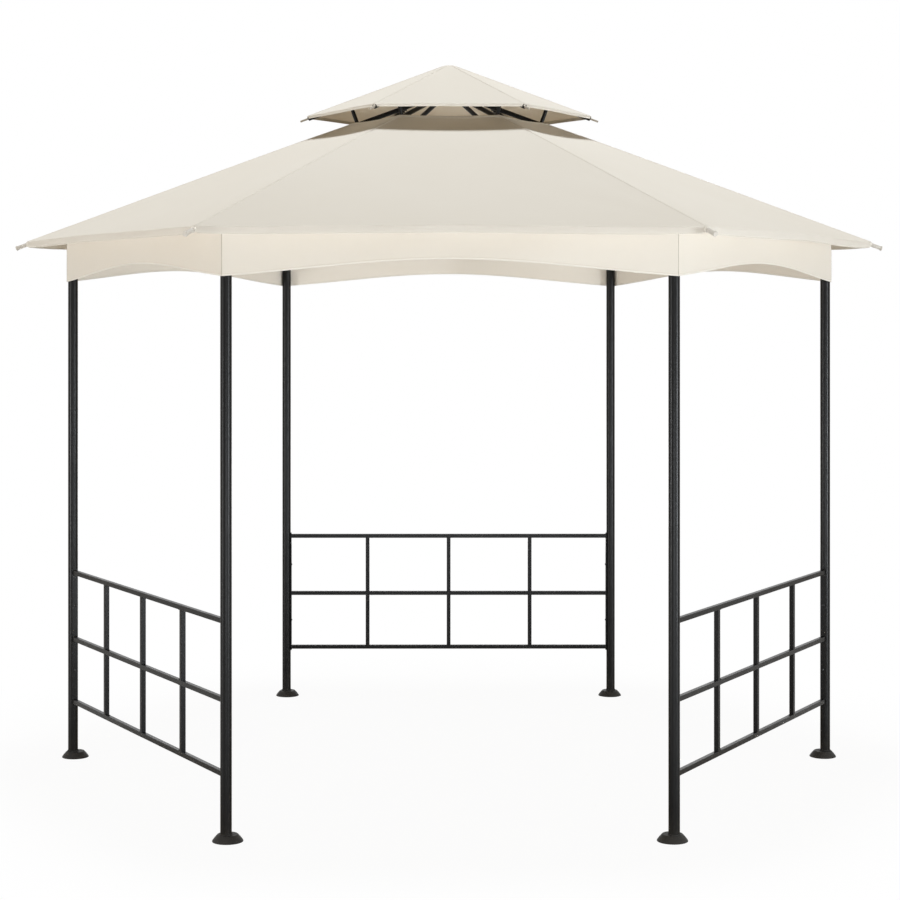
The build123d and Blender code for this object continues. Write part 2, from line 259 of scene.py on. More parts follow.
# %% Group: grain and dust
skin, given, out = start_group(
    "grain_and_dust",
    [
        ("Color", "Color", (0.02, 0.02, 0.02, 1)),
        ("Dust", "Color", (0.22, 0.2, 0.17, 1)),
        ("Grain", "Float", 400.0),
        ("Dust height", "Float", 0.12),
        ("Dust amount", "Float", 0.12),
    ],
    [("Color", "Color"), ("Height", "Float"), ("Roughness", "Float")],
)
place = new_node(skin, "TexCoord").outputs["Object"]
peel = noise_node(skin, place, given["Grain"], 2)
cloudy = noise_node(skin, place, 14, 5)
height = new_node(skin, "SeparateXYZ", {0: place}).outputs["Z"]
low_part = map_range(skin, height, (0, given["Dust height"]), (1, 0), smooth=True)
dusty = math_node(skin, "MULTIPLY", low_part, cloudy)
dusty = math_node(skin, "MULTIPLY", dusty, given["Dust amount"])
paint = mix_colour(skin, dusty, given["Color"], given["Dust"])
rough = map_range(skin, cloudy, result=(0.23, 0.40))
for label, value in (("Color", paint), ("Height", peel), ("Roughness", rough)):
    skin.links.new(value, out[label])
print("skin group:", len(skin.nodes), "nodes")

# %% [markdown]
# A lockstitch shows as a row of short thread dashes, each sunk a little into the cloth.
# The group reads a tape's UV map: U runs along the seam in metres and V across it, so a
# dash is a stretch of U near one value of V.

# %% Group: rows of stitches
stitch, given, out = start_group(
    "stitch_rows",
    [
        ("Vector", "Vector", None),
        ("Pitch", "Float", 0.006),
        ("Row", "Float", 0.007),
        ("Thread", "Float", 0.0007),
    ],
    [("Mask", "Float"), ("Height", "Float")],
)
dash_share = 0.68
dent_reach = 0.0018
split = new_node(stitch, "SeparateXYZ", {0: given["Vector"]}).outputs
beat = math_node(stitch, "DIVIDE", split["X"], given["Pitch"])
dash = math_node(stitch, "LESS_THAN", math_node(stitch, "FRACT", beat), dash_share)
off_middle = math_node(stitch, "ABSOLUTE", split["Y"])
off_row = math_node(stitch, "SUBTRACT", off_middle, given["Row"])
away = math_node(stitch, "ABSOLUTE", off_row)
near = math_node(stitch, "LESS_THAN", away, given["Thread"])
thread = math_node(stitch, "MULTIPLY", dash, near)
valley = map_range(stitch, away, (0, dent_reach), (-1, 0))
stitch.links.new(thread, out["Mask"])
stitch.links.new(math_node(stitch, "ADD", valley, thread), out["Height"])
print("stitch group:", len(stitch.nodes), "nodes")

# %% [markdown]
# ## Materials
# Each finish keeps its Principled shader in the material itself. Values that are the
# same all over, such as the specular level, are set on the shader's own socket.

# %% Helpers for materials
def start_material(name, roughness, specular):
    made = bpy.data.materials.new(name)
    made.use_nodes = True
    shader = made.node_tree.nodes["Principled BSDF"]
    shader.inputs["Roughness"].default_value = roughness
    shader.inputs["Specular IOR Level"].default_value = specular
    return made, made.node_tree, shader


def add_bump(tree, shader, height, strength, depth):
    bump = new_node(tree, "Bump", {"Strength": strength, "Distance": depth, "Height": height})
    tree.links.new(bump.outputs[0], shader.inputs["Normal"])


# %% [markdown]
# The roof is a cream polyester cloth, matt, with a plain weave of about a millimetre.
# In the photograph it reads the same on the lit panels from corner to corner, so the
# two tones of the slow change stay very close. The inner faces get warmer colours, paler
# under the crown: painted light standing in for daylight shining through the thin cloth.

# %% Cream roof cloth
cream = (0.800, 0.766, 0.700, 1)
cream_worn = (0.780, 0.742, 0.670, 1)
# Painted light: the warmer underside colours stand in for light shining through the cloth.
cream_painted_glow = (0.840, 0.705, 0.530, 1)
crown_painted_glow = (0.900, 0.800, 0.650, 1)


def cloth_material(name, stitch_row=None, colour=cream, worn=cream_worn,
                   thread=(0.68, 0.63, 0.545), sunk=0.9):
    made, tree, shader = start_material(name, roughness=0.88, specular=0.22)
    uv = new_node(tree, "UVMap", uv_map="cloth").outputs[0]
    tones = {"Color": colour, "Other": worn, "Scale": 1.7, "Amount": 0.6}
    colour = new_node(tree, "Group", tones, node_tree=tone).outputs["Color"]
    threads = {"Vector": uv, "Thread": 0.0011, "Slub": 0.35}
    height = new_node(tree, "Group", threads, node_tree=weave).outputs["Height"]
    if stitch_row:
        rows = new_node(tree, "Group", {"Vector": uv, "Row": stitch_row}, node_tree=stitch).outputs
        colour = mix_colour(tree, rows["Mask"], colour, (*thread, 1))
        height = math_node(tree, "MULTIPLY_ADD", rows["Height"], sunk, height)
    tree.links.new(colour, shader.inputs["Base Color"])
    add_bump(tree, shader, height, strength=0.35, depth=0.00012)
    return made


roof_cloth = cloth_material("roof_cloth")
pale_thread = (0.755, 0.712, 0.635)
seam_cloth = cloth_material("seam_cloth", stitch_row=0.0055, thread=pale_thread, sunk=0.5)
# Underside cloths whose colour holds painted light shining through the cloth.
painted_glow_cloth = cloth_material("painted_glow_cloth", colour=cream_painted_glow, worn=cream_painted_glow)
crown_painted_glow_cloth = cloth_material("crown_painted_glow_cloth", colour=crown_painted_glow, worn=crown_painted_glow)
print("cloth materials:", roof_cloth.name, seam_cloth.name)

# %% [markdown]
# The steel tubes are black with a satin powder coat. Feet are a deeper matt plastic,
# tips a pale grey one, and the screws are black zinc that shines a little more.

# %% Black powder coat, plastics and screws
def solid_material(name, colour, grain, relief, specular, dust=0.0, metallic=0.0, roughness=None):
    made, tree, shader = start_material(name, roughness or 0.45, specular)
    paint = {"Color": (*colour, 1), "Grain": grain, "Dust amount": dust}
    look = new_node(tree, "Group", paint, node_tree=skin).outputs
    tree.links.new(look["Color"], shader.inputs["Base Color"])
    if roughness is None:
        tree.links.new(look["Roughness"], shader.inputs["Roughness"])
    shader.inputs["Metallic"].default_value = metallic
    add_bump(tree, shader, look["Height"], strength=0.5, depth=relief)
    return made


coat_black = (0.0045, 0.0045, 0.0047)
plastic_black = (0.009, 0.009, 0.0092)
black_coat = solid_material("black_powder_coat", coat_black, 1100, 0.00001, 0.21, dust=0.10)
black_plastic = solid_material("black_moulded_foot", plastic_black, 1500, 0.00002, 0.22,
                               dust=0.16, roughness=0.55)
grey_plastic = solid_material("grey_moulded_tip", (0.60, 0.57, 0.52), 1500, 0.00002, 0.3,
                              roughness=0.55)
rod_plastic = solid_material("crown_tip_rod", (0.44, 0.40, 0.34), 1500, 0.00002, 0.3,
                             roughness=0.6)
black_zinc = solid_material("black_zinc_screw", (0.05, 0.05, 0.052), 900, 0.00003, 0.5,
                            metallic=0.7)
print("solid finishes:", black_coat.name, black_plastic.name, grey_plastic.name, black_zinc.name)

# %% [markdown]
# The thin rods at the crown's corners stand in black plugs. Rod and plug are one solid in
# the frame, so the paint changes at a plane across each rod's own axis.

# %% Black plugs on the crown's rods
rod_slope = math.radians(20.23)
plug_run, plug_height = 0.581, 2.6275
plug_rim = 0.0015
plug_end = plug_run * math.cos(rod_slope) - plug_height * math.sin(rod_slope) + plug_rim
tree = rod_plastic.node_tree
rod_colour = tree.nodes["Principled BSDF"].inputs["Base Color"]
rod_paint = rod_colour.links[0].from_socket
place = new_node(tree, "TexCoord").outputs["Object"]
split = new_node(tree, "SeparateXYZ", {0: place}).outputs
squares = [math_node(tree, "POWER", split[label], 2.0) for label in ("X", "Y")]
from_axis = math_node(tree, "SQRT", math_node(tree, "ADD", *squares))
run = math_node(tree, "MULTIPLY", from_axis, math.cos(rod_slope))
drop = math_node(tree, "MULTIPLY", split["Z"], math.sin(rod_slope))
past_plug = math_node(tree, "GREATER_THAN", math_node(tree, "SUBTRACT", run, drop), plug_end)
tree.links.new(mix_colour(tree, past_plug, (*plastic_black, 1), rod_paint), rod_colour)
print("plugs end", round(plug_end, 4), "m along the rods")

# %% [markdown]
# Every piece of the frame keeps its shape and gets the finish of its material slot.

# %% Finish the frame
finish_of_slot = {
    "black_steel": black_coat,
    "black_plastic": black_plastic,
    "grey_plastic": grey_plastic,
    "roof_cloth": roof_cloth,
}
slot_of_node = {row["node"]: row["material_slot"] for row in frame["record"]["subparts"]}
for name, node in nodes.items():
    node.data.materials.clear()
    node.data.materials.append(finish_of_slot[slot_of_node[name]])
nodes["crown_tips"].data.materials[0] = rod_plastic
print("finished", len(nodes), "CAD nodes")

# %% [markdown]
# ## The main roof cloth
# On the real gazebo six gores are cut from cream polyester, sewn together along the
# hips and pulled over the rafters, with a vent left open at the top. Flat panels would
# look like card. Here one hexagonal ring is cut into a fine grid and every point is
# then moved by a drape rule: straight on the hips, where the rafters carry the cloth,
# a shallow sag between them, and an eave that tension draws in and up at mid side.

# %% Sizes of the roof, read from the frame
corner_count = 6
flat_share = math.cos(math.radians(30))
half_tangent = math.tan(math.radians(30))
gore_low, gore_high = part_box("roof_panel_front")
hem_drop = 0.026
eave_pull, roof_sag, vent_sag = 0.013, 0.011, 0.005
crease_depth, swell_depth, wave_depth = 0.0016, 0.004, 0.0022
mid_lift, lift_from, lift_to, lift_end = 0.003, 0.56, 0.7, 1.45
eave_out = -gore_low.y
vent_out = -gore_high.y
eave_height = gore_low.z + hem_drop
slope_rise = (gore_high.z - eave_height) / (eave_out - vent_out)
slope_stretch = math.hypot(1, slope_rise)
print("eave", round(eave_out, 4), "vent", round(vent_out, 4), "slope", round(slope_rise, 4))

# %% Plan places on the six sides
def side_place(x, y):
    """The side a plan point belongs to, its distance out and its place along the side."""
    side = math.floor(math.degrees(math.atan2(y, x)) / 60) % corner_count
    out, along = seen_from_side(side, x, y)
    return side, out, along


def seen_from_side(side, x, y):
    facing = math.radians(60 * side + 30)
    return x * math.cos(facing) + y * math.sin(facing), y * math.cos(facing) - x * math.sin(facing)


def plan_point(side, out, along):
    facing = math.radians(60 * side + 30)
    x = out * math.cos(facing) - along * math.sin(facing)
    y = out * math.sin(facing) + along * math.cos(facing)
    return x, y


def at_corner(number, run, height):
    """A place or a direction given at the right corner, carried round to another one."""
    turn = math.radians(60 * number)
    return Vector((run * math.cos(turn), run * math.sin(turn), height))


def ease(value, low, high):
    share = min(max((value - low) / (high - low), 0), 1)
    return share * share * (3 - 2 * share)


def slack_at(out, along):
    return 1 - (along / (out * half_tangent)) ** 2


# %% [markdown]
# The drape rule works in the plan. `slack` is nothing on a hip and one at mid side, so
# all that hangs, ripples or is drawn in is multiplied by it, and neighbouring gores
# always meet. Creases fan out from the corners, where the cloth is pulled. The ripples
# are a fixed noise, so every run gives the same cloth.

# %% Drape rule of the main roof
def roof_pull(out, along):
    """How far tension draws a point of the eave inward, most at mid side."""
    slack = slack_at(out, along)
    down = (out - vent_out) / (eave_out - vent_out)
    return eave_pull * slack * slack * max(down, 0) ** 3


def drape_roof(x, y):
    side, out, along = side_place(x, y)
    slack = slack_at(out, along)
    down = min(max((out - vent_out) / (eave_out - vent_out), 0), 1)
    drawn_out = out - roof_pull(out, along)
    height = eave_height + (eave_out - drawn_out) * slope_rise
    height += mid_lift * ease(out, vent_out, lift_from) * ease(-out, -lift_end, -lift_to)
    sag = slack * (roof_sag * math.sin(math.pi * down ** 0.8) + vent_sag * (1 - down) ** 6)
    to_eave = eave_out - out
    to_hip = out * half_tangent - abs(along)
    reach = math.hypot(to_eave, to_hip)
    fan = math.atan2(to_eave, to_hip + 0.001)
    crease = crease_depth * math.sin(9 * fan + side)
    crease *= ease(reach, 0.03, 0.25) * ease(-reach, -0.8, -0.25)
    broad = swell_depth * noise.noise(Vector((x * 1.6, y * 1.6, 3.7)))
    wave = wave_depth * noise.noise(Vector((along * 3.1, side * 5.3, 0.4))) * ease(down, 0.82, 1)
    height += slack * (broad + wave) + min(slack * 4, 1) * crease - sag
    return Vector((*plan_point(side, drawn_out, along), height))


def roof_height_over(side, out, along):
    """Height of the draped roof right above a plan point, found by undoing the pull."""
    source = out
    for _ in range(4):
        source = out + roof_pull(source, along)
    return drape_roof(*plan_point(side, source, along)).z


print("mid eave of the front at", [round(v, 4) for v in drape_roof(0, -eave_out)])

# %% [markdown]
# Both roof tiers and the valance start the same way: a ring of six straight edges, one
# extrusion, and cuts in the two directions. The cuts are then crowded toward the hips,
# where the cloth turns sharply, and kept wide in the middle. Each vertex keeps its flat
# place in a layer called `cut`, and the UV map is laid from that layer, so the weave
# isn't stretched by the drape.

# %% Helpers: a six sided band of grid
def only(kind, made):
    return [item for item in made if isinstance(item, kind)]


def hexagon_band(bm, first_out, last_out, columns, rows):
    """A flat ring of six trapezoid grids between two distances from the middle."""
    radius = first_out / flat_share
    ring = bmesh.ops.create_circle(bm, segments=corner_count, radius=radius)["verts"]
    turn = Matrix.Rotation(math.radians(30), 3, "Z")
    bmesh.ops.rotate(bm, verts=ring, cent=(0, 0, 0), matrix=turn)
    grown = bmesh.ops.extrude_edge_only(bm, edges=list(bm.edges))["geom"]
    inner = only(bmesh.types.BMVert, grown)
    bmesh.ops.scale(bm, verts=inner, vec=(last_out / first_out, last_out / first_out, 1))
    spokes = [edge for edge in bm.edges if reach_of(edge) > 1e-5]
    bmesh.ops.subdivide_edges(bm, edges=spokes, cuts=rows - 1, use_grid_fill=True)
    hoops = [edge for edge in bm.edges if reach_of(edge) < 1e-5]
    bmesh.ops.subdivide_edges(bm, edges=hoops, cuts=columns - 1, use_grid_fill=True)


def reach_of(edge):
    """How much farther from the middle one end of an edge is than the other."""
    return abs(edge.verts[0].co.length - edge.verts[1].co.length)


def crowd_to_hips(bm, crowding):
    for vert in bm.verts:
        side, out, along = side_place(*vert.co.xy)
        half = out * half_tangent
        share = along / half
        share = crowding * math.sin(share * math.pi / 2) + (1 - crowding) * share
        vert.co.xy = plan_point(side, out, share * half)


def guard_row(bm, first_out, spacing, gap):
    """Bring the row next to a rim close to it, so the fold's shading stays at the fold."""
    for vert in bm.verts:
        side, out, along = side_place(*vert.co.xy)
        if abs(out - (first_out - spacing)) < spacing * 0.02:
            nearer = (first_out - gap) / out
            vert.co.x, vert.co.y = vert.co.x * nearer, vert.co.y * nearer


def remember_cut(bm):
    cut = bm.verts.layers.float_vector.new("cut")
    for vert in bm.verts:
        vert[cut] = (vert.co.x, vert.co.y, 0)
    return cut


def rim_edges(bm, out, outermost):
    """Edges of a flat band that lie on its outer or inner rim."""
    found = []
    for edge in bm.edges:
        places = [side_place(*vert.co.xy)[1] for vert in edge.verts]
        if (min(places) > out - 1e-5) if outermost else (max(places) < out + 1e-5):
            found.append(edge)
    return found


def lay_uv(bm, cut, stretch, start_out):
    """UV in metres: U along the side, V down the slope and on down a hem, from start_out."""
    uv = bm.loops.layers.uv.new("cloth")
    for face in bm.faces:
        middle = sum((Vector(vert[cut]) for vert in face.verts), Vector()) / len(face.verts)
        side = side_place(*middle.xy)[0]
        for loop in face.loops:
            x, y, down = loop.vert[cut]
            out, along = seen_from_side(side, x, y)
            loop[uv].uv = (along + 3 * side, (out - start_out) * stretch + down)


def face_outward(bm):
    bmesh.ops.recalc_face_normals(bm, faces=list(bm.faces))


def finish_piece(bm, name, finishes, flip=False, thickness=None, offset=-1, under=0):
    """Turn a bmesh into a piece that rides on the frame."""
    if flip:
        bmesh.ops.reverse_faces(bm, faces=list(bm.faces))
    for face in bm.faces:
        face.smooth = True
    mesh = bpy.data.meshes.new(name)
    bm.to_mesh(mesh)
    bm.free()
    for finish in finishes:
        mesh.materials.append(finish)
    piece = bpy.data.objects.new(name, mesh)
    bpy.context.scene.collection.objects.link(piece)
    if thickness:
        shell = piece.modifiers.new("thickness", "SOLIDIFY")
        shell.thickness = thickness
        shell.offset = offset
        shell.use_even_offset = False
        shell.material_offset = under
    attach(piece, "root")
    print(name, len(mesh.vertices), "vertices,", len(mesh.polygons), "faces")
    return piece


def draped_band(first_out, last_out, columns, rows, guard, crowding, drape):
    """A band cut flat and then draped, with its cut layer and its two rims."""
    bm = bmesh.new()
    hexagon_band(bm, first_out, last_out, columns, rows)
    guard_row(bm, first_out, (first_out - last_out) / rows, guard)
    crowd_to_hips(bm, crowding)
    cut = remember_cut(bm)
    outer, inner = rim_edges(bm, first_out, True), rim_edges(bm, last_out, False)
    for vert in bm.verts:
        vert.co = drape(*vert.co.xy)
    return bm, cut, outer, inner


def looks_down(bm):
    """True if most of a roof cloth's faces look down, so that they need a flip."""
    return sum(face.normal.z * face.calc_area() for face in bm.faces) < 0


cloth_thickness = 0.001


def finish_tier(bm, cut, name, hem_faces, stretch, edge_out, hem, under):
    """Finish a roof tier, with cloths of their own for its hem and its underside."""
    for face in hem_faces:
        face.material_index = 1
    face_outward(bm)
    lay_uv(bm, cut, stretch, edge_out)
    return finish_piece(bm, name, [roof_cloth, hem, under, hem],
                        flip=looks_down(bm), thickness=cloth_thickness, under=2)


# %% [markdown]
# The hem is the same cloth folded over the eave. It is drawn down from the boundary row
# by row: a soft fold, a single layer, then the doubled strip that is stitched. At each
# corner it leaves a short slot, and the fold reaches over the end of the rafter, so only
# the pale tip comes out.

# %% Helper: hang a hem
def hang_hem(bm, cut, edges, rows, edge_out, lip, slot, fuller=0.0):
    """Extrude a hem from boundary edges, and return its faces.

    Each row is (outward, down) in metres. At the corners, up to slot from the hip, only
    the share lip of the drop is left, and at mid side fuller adds to it.
    """
    doubled = []
    for outward, down in rows:
        made = bmesh.ops.extrude_edge_only(bm, edges=edges)["geom"]
        new_verts = only(bmesh.types.BMVert, made)
        new_edges = only(bmesh.types.BMEdge, made)
        fresh = set(new_verts)
        edges = [edge for edge in new_edges if fresh.issuperset(edge.verts)]
        doubled += only(bmesh.types.BMFace, made)
        for vert in new_verts:
            x, y, before = vert[cut]
            side, out, along = side_place(x, y)
            to_corner = edge_out * half_tangent - abs(along)
            share = lip + (1 - lip) * ease(to_corner, slot - 0.001, slot + 0.004)
            share *= 1 + fuller * min(1, 3 * slack_at(edge_out, along))
            now_out, now_along = seen_from_side(side, *vert.co.xy)
            stretch = 1 + outward / now_out
            vert.co.xy = plan_point(side, now_out + outward, now_along * stretch)
            vert.co.z -= down * share
            vert[cut] = (x, y, before + down)
    return doubled


# %% Roof cloth
bm, cut, eave_edges, vent_edges = draped_band(
    eave_out, vent_out, columns=64, rows=40, guard=0.003, crowding=0.78, drape=drape_roof)
eave_fold = [(0.0012, 0.0006), (0.0012, 0.0012), (0.0008, 0.0016), (0.0004, 0.0020)]
eave_strip = [(0, 0.0006), (0, 0.0052), (0, 0.0006), (0.0003, 0.0006)]
eave_strip += [(0, 0.0006), (0, 0.0080), (0, 0.0050)]
hem_faces = hang_hem(bm, cut, eave_edges, eave_fold + eave_strip, eave_out,
                     lip=0.22, slot=0.0105, fuller=0.16)
vent_fold = [(-0.0008, 0.0012), (0.0010, 0.0008)]
hang_hem(bm, cut, vent_edges, vent_fold, vent_out, lip=1, slot=0.01)
# The hem's thread is darker than the cloth: partly its own colour, partly painted shade, so its
# stitch row near the lower edge draws a thin dark line along the eave.
hem_cloth = cloth_material("hem_cloth", stitch_row=0.0235, thread=(0.58, 0.53, 0.44))
roof = finish_tier(bm, cut, "roof_canopy", hem_faces, slope_stretch, eave_out,
                   hem_cloth, painted_glow_cloth)
side_names = ["back_right", "back", "back_left", "front_left", "front", "front_right"]
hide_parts(*["roof_panel_" + name for name in side_names])

# %% [markdown]
# ## The crown cloth
# The small upper roof is made the same way, with three changes. Its six gores close
# over the hub in a small flat top, thin pale rods hold its corners out, and its edge is
# drawn in only a little between them, so it reads nearly straight.

# %% Sizes and drape rule of the crown
crown_low, crown_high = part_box("crown_canopy")
crown_hem = 0.013
crown_out = -crown_low.y
crown_edge_height = crown_low.z + crown_hem
crown_apex = crown_high.z
crown_flat_out = 0.023 * flat_share
crown_pull, crown_sag, crown_swell = 0.004, 0.005, 0.0022
crown_rise = (crown_apex - crown_edge_height) / (crown_out - crown_flat_out)
crown_stretch = math.hypot(1, crown_rise)


def drape_crown(x, y):
    side, out, along = side_place(x, y)
    slack = slack_at(out, along)
    down = min((out - crown_flat_out) / (crown_out - crown_flat_out), 1)
    pull = crown_pull * slack * down ** 3
    height = crown_edge_height + (crown_out - out + pull) * crown_rise
    sag = slack * crown_sag * math.sin(math.pi * down)
    broad = crown_swell * noise.noise(Vector((x * 4, y * 4, 9.1))) * slack * ease(down, 0, 0.3)
    return Vector((*plan_point(side, out - pull, along), height - sag + broad))


print("crown edge", round(crown_edge_height, 4), "apex", round(crown_apex, 4))

# %% Crown cloth
bm, cut, free_edges, top_edges = draped_band(
    crown_out, crown_flat_out, columns=40, rows=24, guard=0.002, crowding=0.7, drape=drape_crown)
lid = bmesh.ops.edgeloop_fill(bm, edges=top_edges)["faces"]
bmesh.ops.poke(bm, faces=lid)
for vert in bm.verts:
    if vert.co.xy.length < 1e-4:
        vert[cut] = (0, 0, 0)
crown_fold = [(0.0011, 0.0005), (0.0010, 0.0010), (0.0006, 0.0014)]
crown_strip = [(0, 0.0006), (0, 0.0014), (0, 0.0005), (0.0003, 0.0005)]
crown_strip += [(0, 0.0005), (0, 0.0066)]
hem_faces = hang_hem(bm, cut, free_edges, crown_fold + crown_strip, crown_out,
                     lip=0.72, slot=0.005)
crown_hem_cloth = cloth_material("crown_hem_cloth", stitch_row=0.0105)
crown = finish_tier(bm, cut, "crown_cloth", hem_faces, crown_stretch, crown_out,
                    crown_hem_cloth, crown_painted_glow_cloth)
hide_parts("crown_canopy")

# %% [markdown]
# ## The valance
# A strip of the same cloth hangs just outside the posts. Its lower edge is an arch
# between each pair of posts: measured in the photograph it is flatter near the posts
# than a part of a circle, so the rule mixes a circle's arch with a cosine. Soft folds
# lean outward only, because the posts stand right behind it.

# %% Drape rule of the valance
valance_low, valance_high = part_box("valances")
box_margin = 0.0007
valance_out = valance_high.y - box_margin
half_side = valance_out * half_tangent
valance_foot = valance_low.z
arch_rise = 0.058
hem_band, hem_share, hem_step = 0.009, 0.2, 0.0003
roof_gap = 0.0022
ripple_depth, lean_depth = 0.008, 0.012


def valance_arch(share):
    round_arch = 1 - share * share
    cosine_arch = (1 + math.cos(math.pi * share)) / 2
    return valance_foot + arch_rise * (round_arch + cosine_arch) / 2


def drape_valance(side, along, up):
    """Place of a valance point, with up from 0 at the arch to 1 at the roof."""
    foot = valance_arch(along / half_side)
    to_corner = half_side - abs(along)
    top = roof_height_over(side, valance_out, along) - roof_gap
    top -= hem_drop * ease(-to_corner, -0.030, -0.012)
    level = foot + hem_band * min(up / hem_share, 1)
    level += (top - foot - hem_band) * max(up - hem_share, 0) / (1 - hem_share)
    free = ease(-up, -0.9, -0.1) * ease(to_corner, 0.02, 0.3)
    ripple = 0.5 + 0.5 * noise.noise(Vector((along * 4.2 + side * 7.7, level * 1.3, 2.0)))
    slant = along * 2.3 - (level - 1.9) * 7
    lean = 0.5 + 0.5 * noise.noise(Vector((slant, side * 3.1, 5.0)))
    swell = ripple_depth * ripple * ripple + lean_depth * lean * lean
    return Vector((*plan_point(side, valance_out + swell * free, along), level))


print("valance from", round(valance_foot, 3), "at a post to", round(valance_arch(0), 3))

# %% [markdown]
# The valance starts as a flat ring too. Its rows are numbered by their distance out, and
# each row then goes to its share of the height. The rows crowd at the stitched hem,
# where the doubled cloth stands a little further out.

# %% Valance cloth
valance_rows = [0, 0.16, 0.18, hem_share, 0.2026]
valance_rows += [hem_share + (1 - hem_share) * step / 12 for step in range(1, 13)]
row_count = len(valance_rows) - 1
raised_row, last_hem_row = 2, 4
spread_out = 1.2
valance_fall = 0.19
bm = bmesh.new()
hexagon_band(bm, valance_out, valance_out * spread_out, columns=72, rows=row_count)
crowd_to_hips(bm, 0.5)
uv = bm.loops.layers.uv.new("cloth")
flat_place = {}
for vert in bm.verts:
    side, out, along = side_place(*vert.co.xy)
    row = round((out / valance_out - 1) / (spread_out - 1) * row_count)
    flat_place[vert] = (side, along / (out * half_tangent), row)
for face in bm.faces:
    middle = face.calc_center_median()
    side = side_place(*middle.xy)[0]
    for loop in face.loops:
        out, along = seen_from_side(side, *loop.vert.co.xy)
        row = valance_rows[flat_place[loop.vert][2]]
        down = hem_band * min(row / hem_share, 1)
        down += valance_fall * max(row - hem_share, 0) / (1 - hem_share)
        loop[uv].uv = (along / out * valance_out + 2 * side, down)
    if max(flat_place[vert][2] for vert in face.verts) <= last_hem_row:
        face.material_index = 1
for vert in bm.verts:
    side, share, row = flat_place[vert]
    vert.co = drape_valance(side, share * half_side, valance_rows[row])
    if row <= raised_row:
        out, along = seen_from_side(side, *vert.co.xy)
        wider = along * (1 + hem_step / out)
        vert.co.xy = plan_point(side, out + hem_step, wider)
for edge in bm.edges:
    edge.smooth = not all(abs(flat_place[vert][1]) > 0.9999 for vert in edge.verts)
outward = sum(face.normal.dot(face.calc_center_median()) for face in bm.faces)
valance_hem_cloth = cloth_material("valance_hem_cloth", stitch_row=0.0074)
valance = finish_piece(bm, "valance_cloth", [roof_cloth, valance_hem_cloth],
                       flip=outward < 0, thickness=cloth_thickness, offset=0)
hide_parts("valances")

# %% [markdown]
# At each post two strips of the valance are sewn together over a thin cord, which reads
# as a fine dark upright line. A slim cylinder is enough for it.

# %% Piping in the corners of the valance
piping_radius, piping_gap = 0.0009, 0.002
piping_cloth = cloth_material("piping_cloth", colour=(0.40, 0.36, 0.29, 1),
                              worn=(0.36, 0.32, 0.25, 1))
bm = bmesh.new()
bm.loops.layers.uv.new("cloth")
for number in range(corner_count):
    foot = drape_valance(number, -half_side, 0)
    top = drape_valance(number, -half_side, 1)
    depth = top.z - foot.z - piping_gap
    place = Matrix.Translation((foot.x, foot.y, (foot.z + top.z) / 2))
    bmesh.ops.create_cone(bm, cap_ends=True, segments=8, radius1=piping_radius,
                          radius2=piping_radius, depth=depth, matrix=place)
face_outward(bm)
valance_piping = finish_piece(bm, "valance_piping", [piping_cloth])
print("piping", round(depth, 3), "m long at each of", corner_count, "corners")

# %% [markdown]
# ## Seams and binding
# Gores are joined by a lapped seam, which reads as a narrow raised band with two rows of
# stitches down each hip. The vent edge is bound with tape. Both are narrow grids laid on
# the finished drape, a fraction of a millimetre above it.

# %% Helper: a tape over the drape
def tape_grid(bm, uv, length_steps, width, place_of, length):
    """A strip whose points are placed by place_of(share along, metres across)."""
    made = bmesh.ops.create_grid(bm, x_segments=length_steps, y_segments=4, size=0.5)["verts"]
    flat = {vert: (vert.co.x + 0.5, vert.co.y * width) for vert in made}
    for face in bm.faces:
        if face.verts[0] in flat:
            for loop in face.loops:
                share, across = flat[loop.vert]
                loop[uv].uv = (share * length, across)
    for vert, (share, across) in flat.items():
        vert.co = place_of(share, across)


def hip_tapes(name, drape, first, last, width, lift):
    bm = bmesh.new()
    uv = bm.loops.layers.uv.new("cloth")
    for number in range(corner_count):
        ray = at_corner(number, 1, 0).xy
        across_ray = Vector((-ray.y, ray.x))

        def on_hip(share, across):
            plan = ray * (first + (last - first) * share) + across_ray * across
            return drape(plan.x, plan.y) + Vector((0, 0, lift))

        tape_grid(bm, uv, 60, width, on_hip, last - first)
    face_outward(bm)
    return finish_piece(bm, name, [seam_cloth], flip=looks_down(bm),
                        thickness=0.0007)


hip_seams = hip_tapes("hip_seams", drape_roof, first=vent_out / flat_share + 0.002,
                      last=eave_out / flat_share - 0.001, width=0.016, lift=0.0005)
crown_seams = hip_tapes("crown_seams", drape_crown, first=0.030,
                        last=crown_out / flat_share - 0.001, width=0.013, lift=0.0006)

# %% Binding of the vent
bm = bmesh.new()
binding_width, binding_lift = 0.018, 0.0014
hexagon_band(bm, vent_out + binding_width, vent_out, columns=36, rows=3)
cut = remember_cut(bm)
for vert in bm.verts:
    vert.co = drape_roof(*vert.co.xy) + Vector((0, 0, binding_lift))
binding_fold = [(-0.0018, 0.0012), (0.0002, 0.0024)]
hang_hem(bm, cut, rim_edges(bm, vent_out, False), binding_fold, vent_out, lip=1, slot=0.01)
face_outward(bm)
lay_uv(bm, cut, slope_stretch, vent_out + binding_width / 2)
vent_binding = finish_piece(bm, "vent_binding", [seam_cloth], flip=looks_down(bm),
                            thickness=0.0006)

# %% [markdown]
# At each corner of the eave the cloth is sewn into a small round pocket that covers the
# end of the rafter tube, and the plastic tip comes out of its middle. A profile spun
# about the rafter's own axis gives that shape.

# %% Corner pockets of the eave
rafter_low, rafter_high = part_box("rafter_right")
slope_angle = math.atan(slope_rise)
tube_radius = 0.0095
axis_run = rafter_high.x - tube_radius * math.sin(slope_angle)
axis_height = rafter_low.z + tube_radius * math.cos(slope_angle)
pocket_profile = [(0.0101, -0.030), (0.0107, -0.012), (0.0109, 0.0012)]
pocket_profile += [(0.0104, 0.0030), (0.0093, 0.0040), (0.0082, 0.0042)]


